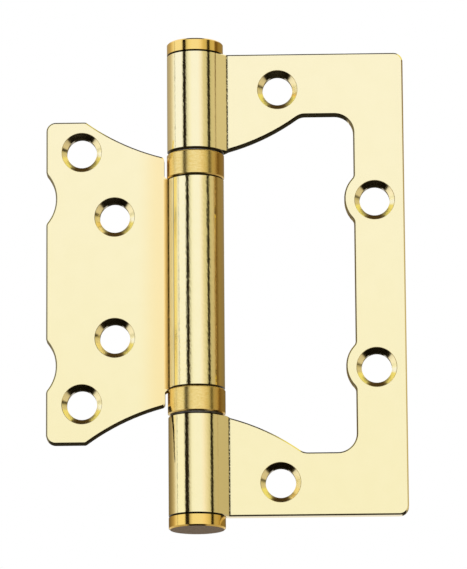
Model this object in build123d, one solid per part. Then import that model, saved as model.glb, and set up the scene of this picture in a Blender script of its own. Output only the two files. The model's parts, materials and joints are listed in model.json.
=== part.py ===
from build123d import *
import os
from math import cos, radians, sin, sqrt

# Non-mortise butt hinge with two ball bearings, open flat. Millimetres and degrees.
# The pin axis is Z and the origin is its middle. Both leaves lie in the XZ plane, the outer leaf towards
# +X and the inner leaf towards -X, with the countersunk faces towards -Y. After half a turn about Z the
# inner leaf lies inside the window of the outer leaf.

# Sheet and roll, the same for both leaves
SHEET = 2.5
PIN_DIAMETER = 6.9
PIN_CLEARANCE = 0.05
FLANK_ANGLE = 50.0
CREASE_RADIUS = 0.4
ROLL_BEVEL_ANGLE = 36.0
ROLL_END_ANGLE = 19.0
EDGE_BREAK = 0.3

# Outer leaf
OUTER_HEIGHT = 100.0
OUTER_REACH = 44.4
OUTER_CORNER = 2.0
OUTER_KNUCKLE = 21.5
KNUCKLE_STEP = 0.5
RIM_WIDTH = 10.75
ARM_WIDTH = 13.45
FLARE_REACH = 22.4
FLARE_RADIUS = 46.0
FLARE_BLEND = 3.0
WINDOW_CORNER = 4.0
LOBE_RADIUS = 6.45
LOBE_BLEND = 1.3

# Inner leaf: its gaps in the window of the outer leaf, and how far it sits above the middle of its knuckle
NEST_GAP = 1.9
END_GAP = 1.7
FLARE_GAP = 1.95
INNER_RISE = 0.65
NECK_GAP = 0.55
NECK_RISE = 0.6
INNER_CORNER = 2.0
SHOULDER_CORNER = 0.8

# Screw holes: insets from the leaf's free edge, then insets from its ends or spacing along the pin
SCREW_HOLE = 6.4
COUNTERSINK = 8.5
COUNTERSINK_ANGLE = 90.0
RIM_HOLE_INSET = 6.35
RIM_HOLE_SPACING = 36.2
ARM_HOLE_INSET = 26.8
ARM_HOLE_END = 7.5
EDGE_HOLE_INSET = 7.55
EDGE_HOLE_END = 7.55
NEAR_HOLE_INSET = 14.55
NEAR_HOLE_SPACING = 26.2
OUTER_HOLE_RISE = -0.35
INNER_HOLE_RISE = 1.55

# Ball bearings between the knuckles
CASE_DIAMETER = 12.2
CASE_HEIGHT = 5.3
CASE_WALL = 0.55
CASE_FLOOR = 0.8
CASE_BEVEL = 0.25
RACE_PROUD = 0.3
RACE_FIT = 0.1
SEAT_RACE = 1.1
BALL_DIAMETER = 2.0
BALL_COUNT = 10
BALL_FIT = 0.03
AXIAL_GAP = 0.05

# Tips on both ends of the pin
TIP_HEIGHT = 2.6
TIP_BEVEL = 0.3
TIP_SPIGOT = 4.0
TIP_SPIGOT_FIT = 0.05
PIN_END_GAP = 0.2
PIN_CHAMFER = 0.5

# Worked out from the sizes above
BORE_RADIUS = PIN_DIAMETER / 2 + PIN_CLEARANCE
KNUCKLE_RADIUS = BORE_RADIUS + SHEET
HALF_SHEET = SHEET / 2
HALF_HEIGHT = OUTER_HEIGHT / 2
KNUCKLE_END = HALF_HEIGHT - OUTER_KNUCKLE
CASE_RADIUS = CASE_DIAMETER / 2
INNER_KNUCKLE_END = KNUCKLE_END - CASE_HEIGHT - RACE_PROUD - 2 * AXIAL_GAP

# The bend between the roll and the flat leaf has its centre in front of the leaf
FLANK_SIN = sin(radians(FLANK_ANGLE))
FLANK_COS = cos(radians(FLANK_ANGLE))
BEND_Y = -HALF_SHEET - CREASE_RADIUS
BEND_X = (KNUCKLE_RADIUS + CREASE_RADIUS + BEND_Y * FLANK_COS) / FLANK_SIN

# Window of the outer leaf, and the leaf that nests in it
WINDOW_REACH = OUTER_REACH - RIM_WIDTH
WINDOW_HALF = HALF_HEIGHT - ARM_WIDTH
FLARE_START = KNUCKLE_END + KNUCKLE_STEP
INNER_REACH = WINDOW_REACH - NEST_GAP
INNER_HALF = WINDOW_HALF - END_GAP
NECK_X = CASE_RADIUS + NECK_GAP
RIM_HOLE_X = OUTER_REACH - RIM_HOLE_INSET
ARM_HOLE_X = OUTER_REACH - ARM_HOLE_INSET
ARM_HOLE_SPACING = 2 * (HALF_HEIGHT - ARM_HOLE_END)
EDGE_HOLE_X = INNER_REACH - EDGE_HOLE_INSET
EDGE_HOLE_SPACING = 2 * (INNER_HALF - EDGE_HOLE_END)
NEAR_HOLE_X = INNER_REACH - NEAR_HOLE_INSET
BEHIND = -2 * KNUCKLE_RADIUS

# Levels in the upper bearing, from its cup's floor on the middle knuckle to the outer knuckle
CASE_BOTTOM = INNER_KNUCKLE_END + AXIAL_GAP
SEAT_RACE_BOTTOM = CASE_BOTTOM + CASE_FLOOR
SEAT_RACE_TOP = SEAT_RACE_BOTTOM + SEAT_RACE
BALL_HEIGHT = SEAT_RACE_TOP + BALL_FIT + BALL_DIAMETER / 2
THRUST_RACE_BOTTOM = BALL_HEIGHT + BALL_DIAMETER / 2 + BALL_FIT
THRUST_RACE_TOP = CASE_BOTTOM + CASE_HEIGHT + RACE_PROUD
BALL_CIRCLE = (PIN_DIAMETER / 2 + CASE_RADIUS - CASE_WALL) / 2

# How close a measured edge must lie to the place it is looked for
NUDGE = 0.01


def on_circle(radius, angle):
    """A point at a distance and an angle from the pin axis, in the section of the roll."""
    return (radius * cos(radians(angle)), radius * sin(radians(angle)))


def both_ends(x, z):
    """The same place above and below the middle of the hinge."""
    return [(x, z), (x, -z)]


def rolled_sheet(reach, height):
    """The sheet and its rolled knuckle as one strip along the pin, with the leaf towards +X."""
    bend_radius = CREASE_RADIUS + SHEET
    flank_turn = FLANK_ANGLE - 90
    flank_out = (BEND_X - CREASE_RADIUS * FLANK_SIN, BEND_Y + CREASE_RADIUS * FLANK_COS)
    flank_in = (BEND_X - bend_radius * FLANK_SIN, BEND_Y + bend_radius * FLANK_COS)
    with BuildPart() as strip:
        with BuildSketch(Plane.XY):
            with BuildLine():
                Line((reach, -HALF_SHEET), (BEND_X, -HALF_SHEET))
                CenterArc((BEND_X, BEND_Y), CREASE_RADIUS, 90, FLANK_ANGLE)
                Line(flank_out, on_circle(KNUCKLE_RADIUS, flank_turn))
                roll = 360 + flank_turn - ROLL_BEVEL_ANGLE
                CenterArc((0, 0), KNUCKLE_RADIUS, flank_turn, -roll)
                Polyline(
                    on_circle(KNUCKLE_RADIUS, ROLL_BEVEL_ANGLE),
                    on_circle(KNUCKLE_RADIUS, ROLL_END_ANGLE),
                    on_circle(BORE_RADIUS, ROLL_END_ANGLE),
                )
                bore = 360 + flank_turn - ROLL_END_ANGLE
                CenterArc((0, 0), BORE_RADIUS, ROLL_END_ANGLE, bore)
                Line(on_circle(BORE_RADIUS, flank_turn), flank_in)
                CenterArc((BEND_X, BEND_Y), bend_radius, 90 + FLANK_ANGLE, -FLANK_ANGLE)
                Polyline((BEND_X, HALF_SHEET), (reach, HALF_SHEET), (reach, -HALF_SHEET))
            make_face()
        extrude(amount=height / 2, both=True)
    return strip.part


def rounded(outline, corners, radius):
    """The outline with its vertices nearest to the given corners rounded."""
    picked = []
    for corner in corners:
        picked.append(min(outline.vertices(), key=lambda v: (Vector(v) - Vector(*corner)).length))
    return fillet(picked, radius)


def flare_edge():
    """The curved edge of the window, from beside the knuckle to the straight edge of the arm."""
    return RadiusArc((BEND_X, FLARE_START), (FLARE_REACH, WINDOW_HALF), -FLARE_RADIUS)


def lobe_circles(radius):
    """The circles round the rim's screw holes, which shape the window and the scallops that match it."""
    return [Pos(x, z) * Circle(radius) for x, z in both_ends(RIM_HOLE_X, RIM_HOLE_SPACING / 2)]


def lobe_corners(reach, radius):
    """Where those circles meet a straight edge at some distance from the pin."""
    half_chord = sqrt(radius**2 - (RIM_HOLE_X - reach) ** 2)
    middle = RIM_HOLE_SPACING / 2
    return both_ends(reach, middle + half_chord) + both_ends(reach, middle - half_chord)


def window_outline():
    """The opening in the outer leaf: narrow between its knuckles, then flaring out to the rim."""
    flare = flare_edge()
    with BuildSketch() as opening:
        with BuildLine():
            Polyline((BEHIND, 0), (BEHIND, KNUCKLE_END), (KNUCKLE_RADIUS, KNUCKLE_END), flare @ 0)
            add(flare)
            Polyline(flare @ 1, (WINDOW_REACH, WINDOW_HALF), (WINDOW_REACH, 0), (BEHIND, 0))
        make_face()
        mirror(about=Plane.XZ)
    outline = opening.sketch
    for circle in lobe_circles(LOBE_RADIUS):
        outline -= circle
    outline = rounded(outline, lobe_corners(WINDOW_REACH, LOBE_RADIUS), LOBE_BLEND)
    outline = rounded(outline, both_ends(WINDOW_REACH, WINDOW_HALF), WINDOW_CORNER)
    return rounded(outline, both_ends(FLARE_REACH, WINDOW_HALF), FLARE_BLEND)


def outer_outline():
    """The outer leaf seen from the front, roll included."""
    blank = Pos((BEHIND + OUTER_REACH) / 2, 0) * Rectangle(OUTER_REACH - BEHIND, OUTER_HEIGHT)
    return rounded(blank, both_ends(OUTER_REACH, HALF_HEIGHT), OUTER_CORNER) - window_outline()


def inner_outline():
    """The inner leaf seen from the front, on the +X side as it lies when it is nested in the window."""
    centre = flare_edge().arc_center
    hollow = FLARE_RADIUS + FLARE_GAP
    outline = Pos((NECK_X + INNER_REACH) / 2, 0) * Rectangle(INNER_REACH - NECK_X, 2 * INNER_HALF)
    for x, z in both_ends(centre.X, centre.Y):
        outline -= Pos(x, z) * Circle(hollow)
    for circle in lobe_circles(LOBE_RADIUS + NEST_GAP):
        outline -= circle
    shoulder = centre.Y - sqrt(hollow**2 - (NECK_X - centre.X) ** 2)
    crest = centre.X + sqrt(hollow**2 - (centre.Y - INNER_HALF) ** 2)
    outline = rounded(outline, lobe_corners(INNER_REACH, LOBE_RADIUS + NEST_GAP), LOBE_BLEND)
    outline = rounded(outline, both_ends(INNER_REACH, INNER_HALF), INNER_CORNER)
    outline = rounded(outline, both_ends(crest, INNER_HALF), SHOULDER_CORNER)
    outline = rounded(outline, both_ends(NECK_X, shoulder), SHOULDER_CORNER)
    outline = Pos(0, INNER_RISE) * outline
    neck_z = INNER_KNUCKLE_END + NECK_RISE
    inside = (NECK_X + NEAR_HOLE_X) / 2
    roll = [(BEHIND, INNER_KNUCKLE_END), (KNUCKLE_RADIUS, INNER_KNUCKLE_END)]
    upper = roll + [(NECK_X, neck_z), (inside, neck_z)]
    lower = [(x, -z) for x, z in reversed(upper)]
    return outline + make_face(Polyline(*upper, *lower, close=True))


def stamped(strip, outline, screw_side):
    """The rolled strip cut to its outline, with its edges broken on the screw side and round the roll."""
    bend = Plane.YZ.offset(BEND_X)
    sheet = extrude(Plane.XZ * outline, amount=HALF_SHEET, both=True)
    face_y = screw_side * HALF_SHEET
    rim = sheet.edges().filter_by_position(Axis.Y, face_y - NUDGE, face_y + NUDGE)
    flat = split(chamfer(rim, EDGE_BREAK), bisect_by=bend, keep=Keep.TOP)
    leaf = strip & extrude(Plane.XZ * outline, amount=2 * KNUCKLE_RADIUS, both=True)
    roll = split(leaf, bisect_by=bend, keep=Keep.BOTTOM)
    roll_ends = []
    for edge in roll.edges().filter_by(GeomType.CIRCLE):
        if abs(edge.radius - KNUCKLE_RADIUS) < NUDGE and abs(edge.arc_center.X) < NUDGE:
            roll_ends.append(edge)
    return flat + chamfer(roll_ends, EDGE_BREAK)


def with_screw_holes(leaf, hole_x, spacing, screw_side, rise):
    """The leaf with a pair of countersunk holes, one above and one below a height near the middle."""
    face = Plane((0, screw_side * HALF_SHEET, rise), x_dir=(1, 0, 0), z_dir=(0, screw_side, 0))
    for x, z in both_ends(hole_x, spacing / 2):
        hole = CounterSinkHole(SCREW_HOLE / 2, COUNTERSINK / 2, 2 * SHEET, COUNTERSINK_ANGLE)
        leaf -= face * Pos(x, z) * hole
    return leaf


def outer_leaf():
    """The large leaf, rolled over the front of the pin at both ends."""
    leaf = stamped(rolled_sheet(OUTER_REACH, OUTER_HEIGHT), outer_outline(), -1)
    leaf = with_screw_holes(leaf, RIM_HOLE_X, RIM_HOLE_SPACING, -1, OUTER_HOLE_RISE)
    return with_screw_holes(leaf, ARM_HOLE_X, ARM_HOLE_SPACING, -1, OUTER_HOLE_RISE)


def inner_leaf():
    """The small leaf, rolled round the back of the pin, so its cut end shows at the front."""
    leaf = stamped(rolled_sheet(INNER_REACH, 2 * (INNER_HALF + INNER_RISE)), inner_outline(), 1)
    leaf = with_screw_holes(leaf, EDGE_HOLE_X, EDGE_HOLE_SPACING, 1, INNER_HOLE_RISE)
    leaf = with_screw_holes(leaf, NEAR_HOLE_X, NEAR_HOLE_SPACING, 1, INNER_HOLE_RISE)
    return Rot(0, 0, 180) * leaf


def hinge_pin():
    """The steel pin, which stops just short of the spigots of both tips."""
    pin = Cylinder(PIN_DIAMETER / 2, 2 * (HALF_HEIGHT - TIP_SPIGOT - PIN_END_GAP))
    return chamfer(pin.edges().filter_by(GeomType.CIRCLE), PIN_CHAMFER)


def turned(profile):
    """A ring or disc turned about the pin axis from its half section of radii and heights."""
    return revolve(Plane.XZ * make_face(Polyline(*profile, close=True)), Axis.Z)


def upper_tip():
    """The flat tip pressed into the end of the knuckle by its spigot."""
    spigot = BORE_RADIUS - TIP_SPIGOT_FIT
    foot = HALF_HEIGHT - TIP_SPIGOT
    top = HALF_HEIGHT + TIP_HEIGHT
    profile = [
        (0, foot),
        (spigot, foot),
        (spigot, HALF_HEIGHT),
        (KNUCKLE_RADIUS, HALF_HEIGHT),
        (KNUCKLE_RADIUS, top - TIP_BEVEL),
        (KNUCKLE_RADIUS - TIP_BEVEL, top),
        (0, top),
    ]
    return turned(profile)


def upper_case():
    """The brass cup round a bearing, whose floor rests on the middle knuckle."""
    low = CASE_BOTTOM
    high = low + CASE_HEIGHT
    bore = CASE_RADIUS - CASE_WALL
    floor = low + CASE_FLOOR
    profile = [
        (BORE_RADIUS, low),
        (CASE_RADIUS - CASE_BEVEL, low),
        (CASE_RADIUS, low + CASE_BEVEL),
        (CASE_RADIUS, high - CASE_BEVEL),
        (CASE_RADIUS - CASE_BEVEL, high),
        (bore, high),
        (bore, floor),
        (BORE_RADIUS, floor),
    ]
    return turned(profile)


def race(low, high):
    """A hardened washer that the balls run on, between two heights."""
    outer = CASE_RADIUS - CASE_WALL - RACE_FIT
    return turned([(BORE_RADIUS, low), (outer, low), (outer, high), (BORE_RADIUS, high)])


def ball(index):
    """One ball of the upper bearing, counted round the pin, as 18 flats that all touch the true ball."""
    flats = Box(BALL_DIAMETER, BALL_DIAMETER, BALL_DIAMETER)
    turned_boxes = [turn * flats for turn in (Rot(45, 0, 0), Rot(0, 45, 0), Rot(0, 0, 45))]
    for turned_box in turned_boxes:
        flats &= turned_box
    return Rot(0, 0, index * 360 / BALL_COUNT) * Pos(BALL_CIRCLE, 0, BALL_HEIGHT) * flats


def upper_bearing():
    """The pieces of the upper bearing by name: its cup, both washers and the balls between them."""
    pieces = {
        "case": upper_case(),
        "seat_race": race(SEAT_RACE_BOTTOM, SEAT_RACE_TOP),
        "thrust_race": race(THRUST_RACE_BOTTOM, THRUST_RACE_TOP),
    }
    for index in range(BALL_COUNT):
        pieces[f"ball_{index + 1:02d}"] = ball(index)
    return pieces


pieces = {
    "outer_leaf": outer_leaf(),
    "inner_leaf": inner_leaf(),
    "hinge_pin": hinge_pin(),
    "upper_tip": upper_tip(),
    "lower_tip": mirror(upper_tip(), Plane.XY),
}
for name, piece in upper_bearing().items():
    pieces["upper_" + name] = piece
    pieces["lower_" + name] = mirror(piece, Plane.XY)

os.makedirs("parts", exist_ok=True)
for name, piece in pieces.items():
    export_step(piece, f"parts/{name}.step")
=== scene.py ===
import json
from math import cos, pi, radians, sin

import bpy
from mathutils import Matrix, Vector

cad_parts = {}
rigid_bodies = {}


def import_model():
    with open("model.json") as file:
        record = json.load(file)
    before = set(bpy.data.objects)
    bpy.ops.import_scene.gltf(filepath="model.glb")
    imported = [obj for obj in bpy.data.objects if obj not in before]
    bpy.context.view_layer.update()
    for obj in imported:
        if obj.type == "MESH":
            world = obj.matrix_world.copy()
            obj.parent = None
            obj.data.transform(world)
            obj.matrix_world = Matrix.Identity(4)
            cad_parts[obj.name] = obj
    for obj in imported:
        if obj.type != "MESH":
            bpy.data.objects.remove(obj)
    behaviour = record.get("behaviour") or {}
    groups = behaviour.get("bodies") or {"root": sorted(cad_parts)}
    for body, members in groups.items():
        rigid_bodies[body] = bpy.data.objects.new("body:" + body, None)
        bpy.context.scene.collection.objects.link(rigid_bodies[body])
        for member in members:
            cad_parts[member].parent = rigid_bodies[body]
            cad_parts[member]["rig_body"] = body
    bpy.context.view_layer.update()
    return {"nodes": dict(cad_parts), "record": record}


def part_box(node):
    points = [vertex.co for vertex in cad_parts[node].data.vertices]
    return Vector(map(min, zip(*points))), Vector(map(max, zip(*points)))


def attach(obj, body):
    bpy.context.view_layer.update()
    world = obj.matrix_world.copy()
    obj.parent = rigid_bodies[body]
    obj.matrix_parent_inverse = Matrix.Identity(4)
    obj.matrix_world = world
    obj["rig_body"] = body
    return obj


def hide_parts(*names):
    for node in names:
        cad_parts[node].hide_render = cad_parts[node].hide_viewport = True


# Non-mortise butt hinge with two ball bearings, open flat, seen from the front and a little below.
# The pin stands along Z, both leaves lie in the XZ plane and their countersunk faces look towards -Y.
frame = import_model()


# The studio. The photograph was taken from about a metre away through a long lens, in a white tent with
# narrow black flags, which polished brass shows as dark lines. The hinge itself stands before plain white.
CAMERA_DISTANCE = 0.9898
CAMERA_ELEVATION = radians(-12.29)
CAMERA_AZIMUTH = radians(1.315)
CAMERA_ROLL = radians(-0.4)
CAMERA_TARGET = Vector((0.00793, 0.0, -0.00006))
SENSOR = 36.0
LENS = 295.5
CAMERA_REACH = 20.0
WHITE = (1.0, 1.0, 1.0)
FLOOR_DROP = 0.45
FLOOR_SIZE = 24.0
PAPER = (0.95, 0.95, 0.95)
PAPER_GLOW = 0.8

# The tent's zones, by degrees above the horizon. The flags lean out above a level and in below it.
TENT_STRENGTH = 1.3
FLAG_LEVEL = 12.2
FLAG_LEAN = 9.0
LOW_TO_MIDDLE = (-6.0, 2.0)
MIDDLE_TO_HIGH = (9.0, 15.5)
WALLS_TO_ROOF = (22.0, 32.0)
ROOF_TO_TOP = (62.0, 69.0)
WALLS_TO_GROUND = (-6.0, -60.0)

# The roof is yellow on both sides, by degrees round the barrel. A black cloth lies on the ground, between
# two lines in front of the hinge.
YELLOW_TURN = 93.6
YELLOW_SPREAD = (46.8, 25.2)
CLOTH_HEIGHT = (-27.0, -34.0)
CLOTH_FRONT = (-0.54, -0.48)
CLOTH_BACK = (-0.02, -0.08)

BLACK_CLOTH = (0.012, 0.009, 0.005)
WARM_WALL = (0.14, 0.09, 0.03)
FRONT_SILK = (0.775, 0.83, 0.89)
WHITE_ROOF = (0.80, 0.80, 0.78)
YELLOW_ROOF = (0.72, 0.69, 0.24)
DARK_TOP = (0.018, 0.014, 0.008)
GROUND = (0.40, 0.37, 0.32)


class Shade:
    """A socket of one shader tree. Arithmetic adds Math nodes, and node() adds any other kind."""

    def __init__(self, tree, socket=None):
        self.tree = tree
        self.socket = socket

    def node(self, kind, settings=None, inputs=None, output=0):
        """Adds a node with its settings and the values or links of its sockets."""
        made = self.tree.nodes.new(kind)
        for name, value in (settings or {}).items():
            if name == "stops":
                ramp = made.color_ramp
                while len(ramp.elements) < len(value):
                    ramp.elements.new(1.0)
                for element, (position, colour) in zip(ramp.elements, value):
                    element.position = position
                    element.color = (*colour, 1.0)
            else:
                setattr(made, name, value)
        for key, value in (inputs or {}).items():
            if isinstance(value, Shade):
                self.tree.links.new(value.socket, made.inputs[key])
            elif isinstance(value, tuple) and made.inputs[key].type == "RGBA":
                made.inputs[key].default_value = (*value, 1.0)
            else:
                made.inputs[key].default_value = value
        return Shade(self.tree, made.outputs[output] if made.outputs else None)

    def feed(self, shader, name):
        """Links this value to a socket of a shader."""
        self.tree.links.new(self.socket, shader.inputs[name])

    def math(self, operation, *values):
        """Adds a Math node for an operation that Python has no sign for."""
        return self.node("ShaderNodeMath", {"operation": operation}, dict(enumerate(values)))

    def __add__(self, other):
        return self.math("ADD", self, other)

    def __sub__(self, other):
        return self.math("SUBTRACT", self, other)

    def __rsub__(self, other):
        return self.math("SUBTRACT", other, self)

    def __mul__(self, other):
        return self.math("MULTIPLY", self, other)

    def __truediv__(self, other):
        return self.math("DIVIDE", self, other)

    __radd__ = __add__
    __rmul__ = __mul__

    def size(self):
        """The value without its sign."""
        return self.math("ABSOLUTE", self)

    def kept(self, low, high):
        """The value held between two others."""
        return self.math("MINIMUM", self.math("MAXIMUM", self, low), high)

    def most(self, *others):
        """The largest of this value and some others."""
        largest = self
        for other in others:
            largest = self.math("MAXIMUM", largest, other)
        return largest

    def distance(self, other):
        """How far a point is that lies so far away one way and so far the other."""
        return self.math("SQRT", self * self + other * other)

    def step(self, low, high):
        """Rises smoothly from 0 to 1 between two values, or falls where low is the higher one."""
        ends = {"Value": self, "From Min": low, "From Max": high}
        return self.node("ShaderNodeMapRange", {"interpolation_type": "SMOOTHSTEP"}, ends)

    def axes(self):
        """The three parts of a vector."""
        return [self.node("ShaderNodeSeparateXYZ", None, {"Vector": self}, part) for part in "XYZ"]

    def blend(self, first, second):
        """A colour between two others, with this value as the share of the second.
        Sockets 0, 6 and 7 are the factor and the two colours, and output 2 is the colour."""
        return self.node("ShaderNodeMix", {"data_type": "RGBA"}, {0: self, 6: first, 7: second}, 2)


def panels(turned, stops):
    """The tent's cloths round the barrel, each stop by its angle in degrees, with 0 in front."""
    stops = [((angle + 180) / 360, colour) for angle, colour in stops]
    return turned.node("ShaderNodeValToRGB", {"stops": stops}, {"Fac": (turned + 180) / 360})


camera = bpy.data.objects.new("camera", bpy.data.cameras.new("camera"))
bpy.context.scene.collection.objects.link(camera)
back = Vector((
    sin(CAMERA_AZIMUTH) * cos(CAMERA_ELEVATION),
    -cos(CAMERA_AZIMUTH) * cos(CAMERA_ELEVATION),
    sin(CAMERA_ELEVATION),
))
camera.location = CAMERA_TARGET + CAMERA_DISTANCE * back
camera.rotation_euler = back.to_track_quat("Z", "Y").to_euler()
camera.rotation_euler.rotate_axis("Z", CAMERA_ROLL)
camera.data.sensor_width = SENSOR
camera.data.lens = LENS
camera.data.clip_end = CAMERA_REACH
bpy.context.scene.camera = camera
bpy.context.scene.view_settings.view_transform = "Standard"

world = bpy.data.worlds.new("white_tent")
world.use_nodes = True
world.node_tree.nodes.clear()
bpy.context.scene.world = world
tent = Shade(world.node_tree)
toward_x, toward_y, toward_z = tent.node("ShaderNodeTexCoord", output="Generated").axes()
height = tent.math("ARCSINE", toward_z) * (180 / pi)
around = tent.math("ARCTAN2", toward_x, 0 - toward_y) * (180 / pi)
leaning = around + (height - FLAG_LEVEL).kept(-FLAG_LEAN, FLAG_LEAN)
high_panels = panels(leaning, [
    (-180, (0.26, 0.21, 0.14)),
    (-136, (0.38, 0.34, 0.26)),
    (-118, (0.46, 0.41, 0.30)),
    (-104, (0.66, 0.63, 0.56)),
    (-97, (0.72, 0.74, 0.76)),
    (-89.2, (0.80, 0.86, 1.00)),
    (-88, (0.18, 0.17, 0.14)),
    (-87, (0.18, 0.17, 0.14)),
    (-85.8, (0.80, 0.88, 1.10)),
    (-55, (0.80, 0.88, 1.15)),
    (-48.5, (0.70, 0.75, 0.80)),
    (-46.5, BLACK_CLOTH),
    (-34.5, BLACK_CLOTH),
    (-32, (0.54, 0.57, 0.55)),
    (-20, (0.77, 0.82, 0.85)),
    (-8, (0.795, 0.86, 1.04)),
    (16, (0.795, 0.86, 1.04)),
    (27, (0.78, 0.79, 0.86)),
    (40, (0.60, 0.57, 0.41)),
    (54, (0.50, 0.48, 0.34)),
    (57, BLACK_CLOTH),
    (67, BLACK_CLOTH),
    (70, (0.50, 0.48, 0.31)),
    (90, (0.56, 0.51, 0.36)),
    (97, WARM_WALL),
    (106, WARM_WALL),
    (120, (0.26, 0.21, 0.10)),
    (180, (0.26, 0.21, 0.14)),
])
middle_panels = panels(leaning, [
    (-180, (0.13, 0.10, 0.05)),
    (-147, (0.17, 0.13, 0.06)),
    (-126, (0.29, 0.23, 0.12)),
    (-110, (0.43, 0.37, 0.24)),
    (-102, (0.60, 0.56, 0.46)),
    (-97, (0.68, 0.68, 0.64)),
    (-89.2, (0.76, 0.79, 0.76)),
    (-88, (0.18, 0.17, 0.13)),
    (-87, (0.18, 0.17, 0.13)),
    (-85.8, (0.80, 0.84, 0.82)),
    (-58, (0.80, 0.84, 0.82)),
    (-52, (0.72, 0.74, 0.66)),
    (-49.5, BLACK_CLOTH),
    (-34.5, BLACK_CLOTH),
    (-31, (0.50, 0.50, 0.42)),
    (-20, (0.77, 0.82, 0.85)),
    (-8, FRONT_SILK),
    (16, FRONT_SILK),
    (27, (0.79, 0.78, 0.79)),
    (40, (0.70, 0.68, 0.57)),
    (55, (0.52, 0.50, 0.34)),
    (58, BLACK_CLOTH),
    (67.5, BLACK_CLOTH),
    (71, (0.43, 0.40, 0.26)),
    (90, (0.46, 0.40, 0.25)),
    (97, WARM_WALL),
    (106, WARM_WALL),
    (120, (0.24, 0.19, 0.08)),
    (180, (0.13, 0.10, 0.05)),
])
low_panels = panels(around, [
    (-180, (0.68, 0.67, 0.66)),
    (-150, (0.60, 0.58, 0.54)),
    (-110, (0.64, 0.63, 0.58)),
    (-70, (0.82, 0.84, 0.88)),
    (-56, (0.78, 0.79, 0.80)),
    (-47, (0.12, 0.10, 0.07)),
    (-38, (0.74, 0.75, 0.74)),
    (0, FRONT_SILK),
    (44, (0.72, 0.72, 0.70)),
    (55, (0.12, 0.10, 0.07)),
    (66, (0.58, 0.54, 0.42)),
    (110, (0.50, 0.44, 0.30)),
    (150, (0.58, 0.55, 0.48)),
    (180, (0.68, 0.67, 0.66)),
])
sides = height.step(*MIDDLE_TO_HIGH).blend(middle_panels, high_panels)
walls = height.step(*LOW_TO_MIDDLE).blend(low_panels, sides)
yellow = (around.size() - YELLOW_TURN).size().step(*YELLOW_SPREAD)
roof = yellow.blend(WHITE_ROOF, YELLOW_ROOF)
covered = height.step(*WALLS_TO_ROOF).blend(walls, roof)
closed = height.step(*ROOF_TO_TOP).blend(covered, DARK_TOP)
grounded = height.step(*WALLS_TO_GROUND).blend(closed, GROUND)
on_cloth = height.step(*CLOTH_HEIGHT) * toward_y.step(*CLOTH_FRONT) * toward_y.step(*CLOTH_BACK)
inside = on_cloth.blend(grounded, BLACK_CLOTH)
seen = tent.node("ShaderNodeBackground", None, {"Color": WHITE, "Strength": 1.0})
lit = tent.node("ShaderNodeBackground", None, {"Color": inside, "Strength": TENT_STRENGTH})
camera_ray = tent.node("ShaderNodeLightPath", output="Is Camera Ray")
mixed = tent.node("ShaderNodeMixShader", None, {0: camera_ray, 1: lit, 2: seen})
tent.node("ShaderNodeOutputWorld", None, {"Surface": mixed})

bpy.ops.object.select_all(action="DESELECT")
bpy.ops.mesh.primitive_plane_add(size=FLOOR_SIZE, location=(0, 0, -FLOOR_DROP))
floor = bpy.context.active_object
floor.name = "floor"
floor.visible_glossy = False
paper = bpy.data.materials.new("white_paper")
paper.use_nodes = True
paper.node_tree.nodes.clear()
sheet = Shade(paper.node_tree)
matt = sheet.node("ShaderNodeBsdfDiffuse", None, {"Color": PAPER})
bright = sheet.node("ShaderNodeEmission", None, {"Color": WHITE, "Strength": 1.0})
bright_share = sheet.node("ShaderNodeLightPath", output="Is Camera Ray") * PAPER_GLOW
surface = sheet.node("ShaderNodeMixShader", None, {0: bright_share, 1: matt, 2: bright})
sheet.node("ShaderNodeOutputMaterial", None, {"Surface": surface})
floor.data.materials.append(paper)


# The large leaf, one brass sheet punched round its window and its four countersunk holes, rolled over the
# front of the pin at both ends and polished all over. The flank between roll and leaf is nearly flat.
MILLIMETRE = 0.001
MERGE_DISTANCE = 1e-6
FLAT_ANGLE = radians(0.3)
EDGE_ANGLE = radians(30)

BRASS = (0.94, 0.80, 0.45)
CLOUDED_BRASS = (0.932, 0.792, 0.440)
# Dark brown painted shade for the up-facing bottoms of the countersinks.
SHADED_SINK_BRASS = (0.34, 0.20, 0.055)
# How far painted shade darkens the brass.
PAINTED_SHADE_SCALE = 0.05
SHADED_BRASS = tuple(part * PAINTED_SHADE_SCALE for part in BRASS)
OUTER_SCREWS = ("outer_rim_screws", "outer_arm_screws")
OUTER_PEEL = 0.011
FLANK_SLOPE = radians(50)
FLANK_LENGTH = 3.2
FLANK_LIFT = 0.105

# Borders of the places on a leaf, in millimetres. Each pair says where a place begins and where it is full.
ROLL_BORDER = (6.15, 6.05)
SINK_BORDER = (4.3, 4.2)
END_BORDER = (-49.95, -49.85)
CREASE_X = 6.86
CREASE_Y = -1.35
CREASE_WIDTH = (0.26, 0.1)
CREASE_DEPTH = (0.3, 0.2)

# The same for the way that a face looks, by one part of its normal.
SIDEWAYS = (0.35, 0.2)
DOWNWARDS = (-0.6, -0.78)
HOLE_TOP = (-0.84, -0.92)
SINK_TOP = (-0.5, -0.58)
SINK_BOTTOM = (0.57, 0.68)
JOINT_FACE = (0.35, 0.6)
BREAK_SLOPE = 0.707
BREAK_SPREAD = (0.1, 0.06)
BREAK_SIDE = (0.4, 0.1)
# Shares of painted shade on the edge breaks that do not face +X and on the countersinks' tops.
BREAK_DARK = 0.8
SINK_TOP_DARK = 0.75

# Heights of the marks in the metal, in millimetres, and two slopes that stand for curved metal.
SWELL_HEIGHT = 0.012
WIPE_HEIGHT = 0.0002
SHEAR_HEIGHT = 0.003
TURNED_HEIGHT = 0.0007
TURNED_MARKS = 46
SHEAR_ROLL = 0.6
SINK_FLARE = 0.15

# Roughness of the polish and what each mark adds to it.
POLISH = 0.06
CLOUD_HAZE = 0.035
SHEAR_HAZE = 0.05
SINK_HAZE = 0.05
RAW_HAZE = 0.12
# Added where painted shade darkens the metal.
PAINTED_SHADE_HAZE = 0.25
CLOUD_SPREAD = (0.3, 0.7)
CRUMB_SPREAD = (0.25, 0.55)


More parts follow.
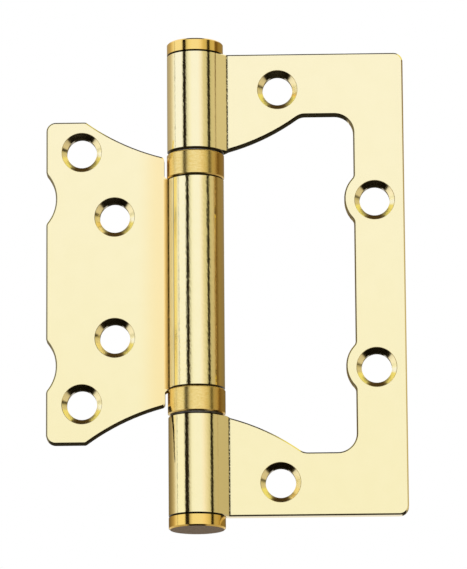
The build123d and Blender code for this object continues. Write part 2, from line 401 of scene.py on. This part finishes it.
def dressed(node, name):
    """A merged, smooth-shaded copy of a CAD node that takes its place and moves with the same body."""
    source = frame["nodes"][node]
    piece = bpy.data.objects.new(name, source.data.copy())
    bpy.context.scene.collection.objects.link(piece)
    bpy.ops.object.select_all(action="DESELECT")
    bpy.context.view_layer.objects.active = piece
    piece.select_set(True)
    bpy.ops.object.mode_set(mode="EDIT")
    bpy.ops.mesh.select_all(action="SELECT")
    bpy.ops.mesh.remove_doubles(threshold=MERGE_DISTANCE)
    bpy.ops.mesh.dissolve_limited(angle_limit=FLAT_ANGLE)
    bpy.ops.object.mode_set(mode="OBJECT")
    bpy.ops.mesh.customdata_custom_splitnormals_clear()
    bpy.ops.object.shade_smooth_by_angle(angle=EDGE_ANGLE)
    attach(piece, source["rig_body"])
    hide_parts(node)
    return piece


def finish(piece, name):
    """Gives a piece a new metal, and returns the shading helper of its tree and its shader."""
    material = bpy.data.materials.new(name)
    material.use_nodes = True
    shader = material.node_tree.nodes["Principled BSDF"]
    shader.inputs["Metallic"].default_value = 1.0
    piece.data.materials.clear()
    piece.data.materials.append(material)
    return Shade(material.node_tree), shader


def in_millimetres(metal):
    """The place on the piece in millimetres."""
    place = metal.node("ShaderNodeTexCoord", output="Object")
    return metal.node("ShaderNodeVectorMath", {"operation": "SCALE"}, {0: place, "Scale": 1 / MILLIMETRE})


def facing(metal):
    """The three parts of the way that a face looks."""
    return metal.node("ShaderNodeTexCoord", output="Normal").axes()


def grain(metal, place, marks, stretch=(1.0, 1.0, 1.0), detail=2.0):
    """Noise of so many marks to the millimetre, drawn out along the axes whose stretch is small."""
    drawn = metal.node("ShaderNodeVectorMath", {"operation": "MULTIPLY"}, {0: place, 1: stretch})
    return metal.node("ShaderNodeTexNoise", None, {"Vector": drawn, "Scale": marks, "Detail": detail})


def relief(metal, shader, tall):
    """Feeds a height in millimetres to the shader as bumps."""
    bump = metal.node("ShaderNodeBump", None, {"Height": tall, "Distance": MILLIMETRE, "Strength": 1.0})
    bump.feed(shader, "Normal")


def sheet_finish(piece, name, side, screws, peel_height):
    """Polished sheet brass: wiping marks, orange peel on the roll, turned countersinks, and painted shade
    that darkens the crease, the knuckle joints, the undersides, the edge breaks that do not face +X and the
    countersinks' tops and bottoms. Side is 1 where the leaf reaches to +X and -1 for the leaf that is its
    half turn. The screws name the record's pairs of holes."""
    metal, shader = finish(piece, name)
    place = in_millimetres(metal)
    x, y, z = place.axes()
    face_x, face_y, face_z = facing(metal)

    from_holes = []
    for mount in frame["record"]["mounts"]:
        if mount["name"] in screws:
            hole_x, _, middle_z = [length / MILLIMETRE for length in mount["pos_m"]]
            along = (z - middle_z).size() - mount["dims"]["spacing_y_mm"] / 2
            from_holes.append((x - hole_x).distance(along))
    from_hole = metal.math("MINIMUM", *from_holes)

    on_roll = x.distance(y).step(*ROLL_BORDER)
    in_sink = from_hole.step(*SINK_BORDER)
    on_side = face_y.size().step(*SIDEWAYS) * (1 - on_roll)
    on_edge = on_side * (1 - in_sink)
    # Painted shade: the down-facing cut edges and the tops of the holes are darkened.
    under_edge = on_edge * face_z.step(*DOWNWARDS) * z.step(*END_BORDER)
    underneath = under_edge.most(on_side * in_sink * face_z.step(*HOLE_TOP))
    # Painted shade: the edge breaks that do not face +X are darkened.
    on_break = (face_y.size() - BREAK_SLOPE).size().step(*BREAK_SPREAD) * (1 - on_roll) * (1 - in_sink)
    dark_break = on_break * face_x.step(*BREAK_SIDE) * BREAK_DARK
    # Painted shade: the countersinks' up-facing bottoms are dark brown and their down-facing tops near black.
    sink_bottom = in_sink * face_z.step(*SINK_BOTTOM)
    sink_top = in_sink * face_z.step(*SINK_TOP) * SINK_TOP_DARK
    # Painted shade: a speckled dark line in the crease between flank and leaf.
    crease = (x * side - CREASE_X).size().step(*CREASE_WIDTH)
    crease = crease * (y * side - CREASE_Y).size().step(*CREASE_DEPTH)
    # Painted shade: the roll's end faces in the joints between knuckles are darkened.
    in_joint = on_roll * face_z.size().step(*JOINT_FACE)

    peel = grain(metal, place, 2.4, stretch=(1.0, 1.0, 0.5), detail=4.0)
    wipes = grain(metal, place, 5.0, stretch=(0.25, 1.0, 1.6), detail=4.0)
    swell = grain(metal, place, 0.09, detail=1.0)
    shear = grain(metal, place, 6.0, stretch=(1.0, 0.06, 1.0))
    crumbs = grain(metal, place, 4.0, stretch=(1.0, 1.0, 0.7))
    cloud = grain(metal, place, 0.3, detail=3.0)
    turned = metal.math("SINE", from_hole * TURNED_MARKS)

    tall = swell * SWELL_HEIGHT + wipes * WIPE_HEIGHT + on_roll * (peel * peel_height)
    tall = tall + on_edge * (shear * SHEAR_HEIGHT) + in_sink * (turned * TURNED_HEIGHT)
    tall = tall + underneath * y * SHEAR_ROLL - in_sink * from_hole * SINK_FLARE
    colour = cloud.step(*CLOUD_SPREAD).blend(CLOUDED_BRASS, BRASS)
    colour = sink_bottom.blend(colour, SHADED_SINK_BRASS)
    colour = sink_top.blend(colour, SHADED_BRASS)
    # All painted shade of the leaf: crease, joints, undersides and edge breaks.
    painted_shade = (crease * crumbs.step(*CRUMB_SPREAD)).most(in_joint, underneath, dark_break)
    rough = POLISH + cloud * CLOUD_HAZE + on_edge * (shear * SHEAR_HAZE)
    rough = rough + in_sink * SINK_HAZE + sink_bottom * RAW_HAZE + painted_shade * PAINTED_SHADE_HAZE
    return metal, shader, place, tall, colour, painted_shade, rough


outer = dressed("outer_leaf", "outer_leaf_polished")
metal, shader, place, tall, colour, painted_shade, rough = sheet_finish(
    outer, "outer_leaf_brass", 1, OUTER_SCREWS, OUTER_PEEL)
x, y, _ = place.axes()
along_flank = (x * cos(FLANK_SLOPE) + y * sin(FLANK_SLOPE)).kept(0.0, FLANK_LENGTH)
relief(metal, shader, tall + along_flank * FLANK_LIFT)
# The painted shade darkens the base colour.
painted_shade.blend(colour, SHADED_BRASS).feed(shader, "Base Color")
rough.feed(shader, "Roughness")


# The small leaf, punched from the same sheet to nest in the window, and rolled round the back of the pin.
# Its roll is a little out of round, and the cut end of the sheet shows at the front as a matt, paler strip.
CUT_METAL = (0.97, 0.87, 0.56)
PAINTED_REFLECTION_BRASS = (0.96, 0.62, 0.17)
YELLOW_BRASS = (0.96, 0.76, 0.26)
INNER_SCREWS = ("inner_edge_screws", "inner_near_screws")
INNER_PEEL = 0.019
ROLL_FLATNESS = 0.0187
ROLL_CROWN_X = 0.775
ROLL_RADIUS = 6.0

# Where the cut end, its sharp arris, the burnished strip beside it and the crevice at the bend lie on the
# roll, in millimetres.
ARRIS_X = -4.56
CUT_OUTER = (-4.51, -4.61)
CUT_INNER = (-5.6, -5.5)
BURNISHED_START = (-4.56, -4.46)
CREVICE_X = -5.72
BEND_BORDER = (-5.72, -5.78)
CREVICE_WIDTH = (0.26, 0.1)
CREVICE_DARK = 0.75
ARRIS_WIDTH = (0.14, 0.05)
ARRIS_DARK = 0.55
BURNISHED_END = (-3.6, -4.1)
FRONT_BORDER = (0.8, 0.4)
ROLL_ENDS = (22.8, 22.7)
SAW_HEIGHT = 0.03
SAW_SPREAD = (0.3, 0.5)
CREVICE_SPREAD = (0.2, 0.6)

# Where the leaf beside the roll and the roll's right side get a painted warm reflection of the brass.
GLOW = 0.36
GLOW_REACH = (-13.0, -7.2)
GLOW_FACE = (-1.0, -1.2)
GLOW_LEAF = (-5.6, -6.0)
GLOW_RIGHT = (3.0, 4.5)
BEND_GLOW = (-7.4, -6.2)
BEND_MATT = (-6.9, -6.4)
CUT_HAZE = 0.3
BURNISHED_HAZE = 0.15
BEND_HAZE = 0.4

inner = dressed("inner_leaf", "inner_leaf_polished")
metal, shader, place, tall, colour, painted_shade, rough = sheet_finish(
    inner, "inner_leaf_brass", -1, INNER_SCREWS, INNER_PEEL)
x, y, z = place.axes()
off_crown = x.kept(ARRIS_X, ROLL_RADIUS) - ROLL_CROWN_X
out_of_round = off_crown * off_crown * -ROLL_FLATNESS
saw = grain(metal, place, 3.0, stretch=(3.0, 3.0, 0.12), detail=3.0)
crumbs = grain(metal, place, 3.0, stretch=(1.0, 1.0, 0.5), detail=3.0)
in_front = y.step(*FRONT_BORDER) * z.size().step(*ROLL_ENDS)
before_roll = in_front * x.step(*BEND_BORDER)
cut_end = in_front * x.step(*CUT_OUTER) * x.step(*CUT_INNER)
burnished = in_front * x.step(*BURNISHED_START) * x.step(*BURNISHED_END)
# Painted shade: the crevice at the bend and the line of the arris are darkened in colour.
crevice = in_front * (x - CREVICE_X).size().step(*CREVICE_WIDTH) * crumbs.step(*CREVICE_SPREAD)
arris = in_front * (x - ARRIS_X).size().step(*ARRIS_WIDTH)
# Painted reflection: deep orange on the leaf beside the roll, at the bend and on the roll's right side.
off_middle = x.step(*GLOW_LEAF).most(x.step(*GLOW_RIGHT))
glow = off_middle * x.step(*GLOW_REACH) * y.step(*GLOW_FACE) * GLOW
colour = glow.most(before_roll * x.step(*BEND_GLOW)).blend(colour, PAINTED_REFLECTION_BRASS)
colour = burnished.blend(colour, YELLOW_BRASS)
colour = (cut_end * saw.step(*SAW_SPREAD)).blend(colour, CUT_METAL)
# The painted shade also takes in the arris and the crevice.
painted_shade = painted_shade.most(arris * ARRIS_DARK, crevice * CREVICE_DARK)
relief(metal, shader, tall + out_of_round + cut_end * (saw * SAW_HEIGHT))
# The painted shade darkens the base colour.
painted_shade.blend(colour, SHADED_BRASS).feed(shader, "Base Color")
rough = rough + cut_end * CUT_HAZE + burnished * BURNISHED_HAZE
(rough + before_roll * x.step(*BEND_MATT) * BEND_HAZE).feed(shader, "Roughness")


# The steel pin through all three knuckles, ground to size, with the fine rings that the wheel leaves.
# It stands still in the large leaf and the small one turns round it.
STEEL = (0.60, 0.60, 0.58)
RINGED_STEEL = (0.52, 0.52, 0.50)
PIN_POLISH = 0.14
PIN_RING_HAZE = 0.16
PIN_RING_HEIGHT = 0.001

pin = dressed("hinge_pin", "hinge_pin_ground")
metal, shader = finish(pin, "pin_steel")
place = in_millimetres(metal)
rings = grain(metal, place, 14.0, stretch=(0.2, 0.2, 1.0))
rings.blend(RINGED_STEEL, STEEL).feed(shader, "Base Color")
(PIN_POLISH + rings * PIN_RING_HAZE).feed(shader, "Roughness")
relief(metal, shader, rings * PIN_RING_HEIGHT)


# The cups of both ball bearings, turned from brass bar and left satin: the tool's fine rings run round
# them, and their right sides are painted darker as shade. Their broken edges sit in the dark joints.
SATIN_BRASS = (0.88, 0.66, 0.25)
SATIN_SHADE = (0.80, 0.55, 0.16)
SATIN_SHADED_SIDE = (0.72, 0.47, 0.14)
SATIN_RING_SHARE = 0.6
SATIN_SPREAD = (0.35, 0.65)
SHADED_SIDE_X = (2.8, 4.4)
UPPER_RIM = (0.35, 0.6)
SATIN_POLISH = 0.14
SATIN_RING_HAZE = 0.06
SATIN_SPECK_HAZE = 0.05
UPPER_RIM_HAZE = 0.4
SATIN_RING_HEIGHT = 0.0022
SATIN_SPECK_HEIGHT = 0.0012

for side in ("upper", "lower"):
    cup = dressed(f"{side}_case", f"{side}_case_turned")
    metal, shader = finish(cup, f"{side}_case_satin")
    place = in_millimetres(metal)
    x, _, _ = place.axes()
    _, _, face_z = facing(metal)
    rings = grain(metal, place, 9.0, stretch=(0.12, 0.12, 1.0), detail=4.0)
    specks = grain(metal, place, 3.0, detail=4.0)
    upper_rim = face_z.step(*UPPER_RIM)
    mottle = rings * SATIN_RING_SHARE + specks * (1 - SATIN_RING_SHARE)
    colour = mottle.step(*SATIN_SPREAD).blend(SATIN_SHADE, SATIN_BRASS)
    # Painted shade: the right side of each cup is darker in colour.
    x.step(*SHADED_SIDE_X).blend(colour, SATIN_SHADED_SIDE).feed(shader, "Base Color")
    rough = SATIN_POLISH + rings * SATIN_RING_HAZE + specks * SATIN_SPECK_HAZE
    (rough + upper_rim * UPPER_RIM_HAZE).feed(shader, "Roughness")
    relief(metal, shader, rings * SATIN_RING_HEIGHT + specks * SATIN_SPECK_HEIGHT)


# The hardened steel washers on both sides of the balls, painted near black as shade where they close the
# cups, with patches of oil.
# One lies on each cup's floor, and one stands a little proud of the rim, against the outer knuckle.
SHADED_OILED_STEEL = (0.09, 0.08, 0.07)
SHADED_WIPED_STEEL = (0.15, 0.14, 0.13)
OIL_SPREAD = (0.3, 0.7)
WASHER_POLISH = 0.32
OIL_HAZE = 0.2
GROUND_MARKS = 30
GROUND_HEIGHT = 0.0006

for side in ("upper", "lower"):
    for part in ("seat_race", "thrust_race"):
        washer = dressed(f"{side}_{part}", f"{side}_{part}_hardened")
        metal, shader = finish(washer, f"{side}_{part}_steel")
        place = in_millimetres(metal)
        x, y, _ = place.axes()
        ground = metal.math("SINE", x.distance(y) * GROUND_MARKS)
        oil = grain(metal, place, 1.2, detail=3.0)
        # Painted shade: both steels are near black, for the dark gaps at the cups, mottled by the oil.
        oil.step(*OIL_SPREAD).blend(SHADED_OILED_STEEL, SHADED_WIPED_STEEL).feed(shader, "Base Color")
        (WASHER_POLISH + oil * OIL_HAZE).feed(shader, "Roughness")
        relief(metal, shader, ground * GROUND_HEIGHT)


# The bearing balls, ten to a cup, of hardened steel, ground and polished. They roll between the washers.
# One is modelled and the others are copies of it.
BALL_STEEL = (0.68, 0.68, 0.67)
BALL_SHADE = (0.60, 0.60, 0.60)
BALL_CUTS = 7
BALLS_PER_CUP = 10
BALL_POLISH = 0.05
BALL_HAZE = 0.05

bpy.ops.object.select_all(action="DESELECT")
bpy.ops.mesh.primitive_cube_add(size=1.0, location=(0, 0, 0))
model_ball = bpy.context.active_object
bpy.ops.object.mode_set(mode="EDIT")
bpy.ops.mesh.select_all(action="SELECT")
bpy.ops.mesh.subdivide(number_cuts=BALL_CUTS)
bpy.ops.transform.tosphere(value=1.0)
bpy.ops.object.mode_set(mode="OBJECT")
bpy.ops.object.shade_smooth()
round_size = model_ball.dimensions[2]
for side in ("upper", "lower"):
    for number in range(1, BALLS_PER_CUP + 1):
        node = f"{side}_ball_{number:02d}"
        low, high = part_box(node)
        ball = bpy.data.objects.new(f"{node}_polished", model_ball.data.copy())
        bpy.context.scene.collection.objects.link(ball)
        ball.location = [(start + end) / 2 for start, end in zip(low, high)]
        ball.scale = [(high[2] - low[2]) / round_size] * 3
        bpy.ops.object.select_all(action="DESELECT")
        bpy.context.view_layer.objects.active = ball
        ball.select_set(True)
        bpy.ops.object.transform_apply(location=True, rotation=False, scale=True)
        metal, shader = finish(ball, f"{node}_steel")
        film = grain(metal, in_millimetres(metal), 2.5)
        film.blend(BALL_SHADE, BALL_STEEL).feed(shader, "Base Color")
        (BALL_POLISH + film * BALL_HAZE).feed(shader, "Roughness")
        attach(ball, frame["nodes"][node]["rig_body"])
        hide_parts(node)
bpy.data.objects.remove(model_ball)


# The flat tips that close both ends of the barrel, turned from brass and polished, pressed in by a spigot.
# Their outer faces keep the faint rings of the facing cut, and the lower one's underside is left dull and
# painted dark as shade. Both are painted darker as shade next to the joint with the barrel.
TIP_BRASS = (0.92, 0.63, 0.18)
TIP_SHADE = (0.90, 0.60, 0.16)
# Painted shade: near black next to the joint, dark brown on the lower tip's underside.
SHADED_TIP = tuple(part * PAINTED_SHADE_SCALE for part in TIP_BRASS)
SHADED_DULL_END = (0.15, 0.085, 0.035)
DULL_FACE = (-0.85, -0.95)
DULL_METAL = 0.8
END_FACE = (0.85, 0.95)
INNER_END = -0.9
LOWER_HALF = (0.0, -1.0)
TIP_JOINT = (0.14, 0.08)
TIP_SPREAD = (0.3, 0.7)
TIP_BEVEL = 0.0003
TIP_EASE = 0.0001
SPIGOT_RADIUS = 0.00345
AROUND = 128
SAME_PLACE = 1e-6
FACING_MARKS = 34
FACING_HEIGHT = 0.0006
TIP_WIPE_HEIGHT = 0.0012
TIP_POLISH = 0.08
TIP_WIPE_HAZE = 0.04
END_HAZE = 0.15
DULL_HAZE = 0.35

low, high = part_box("upper_tip")
tip_radius, tip_end, spigot_end = high[0], high[2], low[2]
barrel_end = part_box("outer_leaf")[1][2]
for side, up in (("upper", 1), ("lower", -1)):
    node = f"{side}_tip"
    joint_z = up * barrel_end
    outer_z = up * tip_end
    bpy.ops.object.select_all(action="DESELECT")
    bpy.ops.mesh.primitive_cylinder_add(
        vertices=AROUND, radius=tip_radius, depth=tip_end - barrel_end, end_fill_type="NGON",
        location=(0, 0, (joint_z + outer_z) / 2))
    tip = bpy.context.active_object
    tip.name = f"{side}_tip_turned"
    bpy.ops.object.transform_apply(location=True, rotation=False, scale=False)
    for rim_z, width in ((outer_z, TIP_BEVEL), (joint_z, TIP_EASE)):
        bpy.ops.object.mode_set(mode="EDIT")
        bpy.ops.mesh.select_mode(type="EDGE")
        bpy.ops.mesh.select_all(action="DESELECT")
        bpy.ops.object.mode_set(mode="OBJECT")
        for edge in tip.data.edges:
            ends = [tip.data.vertices[index].co for index in edge.vertices]
            edge.select = all(
                abs(end.z - rim_z) < SAME_PLACE and end.xy.length > tip_radius - TIP_EASE / 2 for end in ends)
        bpy.ops.object.mode_set(mode="EDIT")
        bpy.ops.mesh.bevel(offset=width, offset_type="OFFSET", segments=1, affect="EDGES")
        bpy.ops.object.mode_set(mode="OBJECT")
    bpy.ops.object.mode_set(mode="EDIT")
    bpy.ops.mesh.select_mode(type="FACE")
    bpy.ops.mesh.select_all(action="DESELECT")
    bpy.ops.object.mode_set(mode="OBJECT")
    for face in tip.data.polygons:
        face.select = face.normal.z * up < INNER_END
    bpy.ops.object.mode_set(mode="EDIT")
    bpy.ops.mesh.inset(thickness=tip_radius - TIP_EASE - SPIGOT_RADIUS, depth=0.0)
    inwards = (0, 0, up * (spigot_end - barrel_end))
    bpy.ops.mesh.extrude_region_move(TRANSFORM_OT_translate={"value": inwards})
    bpy.ops.object.mode_set(mode="OBJECT")
    bpy.ops.object.shade_smooth_by_angle(angle=EDGE_ANGLE)
    metal, shader = finish(tip, f"{side}_tip_brass")
    place = in_millimetres(metal)
    x, y, z = place.axes()
    _, _, face_z = facing(metal)
    on_end = face_z.size().step(*END_FACE)
    # Painted shade next to the joint with the barrel.
    in_joint = (z * up - barrel_end / MILLIMETRE).step(*TIP_JOINT)
    # The lower tip's underside: dull metal and painted shade.
    dull_and_shaded = face_z.step(*DULL_FACE) * z.step(*LOWER_HALF)
    rings = metal.math("SINE", x.distance(y) * FACING_MARKS)
    wipes = grain(metal, place, 3.0, stretch=(1.0, 1.0, 3.0), detail=3.0)
    colour = wipes.step(*TIP_SPREAD).blend(TIP_SHADE, TIP_BRASS)
    colour = dull_and_shaded.blend(colour, SHADED_DULL_END)
    in_joint.blend(colour, SHADED_TIP).feed(shader, "Base Color")
    (1 - dull_and_shaded * DULL_METAL).feed(shader, "Metallic")
    (TIP_POLISH + wipes * TIP_WIPE_HAZE + on_end * END_HAZE + dull_and_shaded * DULL_HAZE).feed(shader, "Roughness")
    relief(metal, shader, on_end * (rings * FACING_HEIGHT) + wipes * TIP_WIPE_HEIGHT)
    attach(tip, frame["nodes"][node]["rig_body"])
    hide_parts(node)
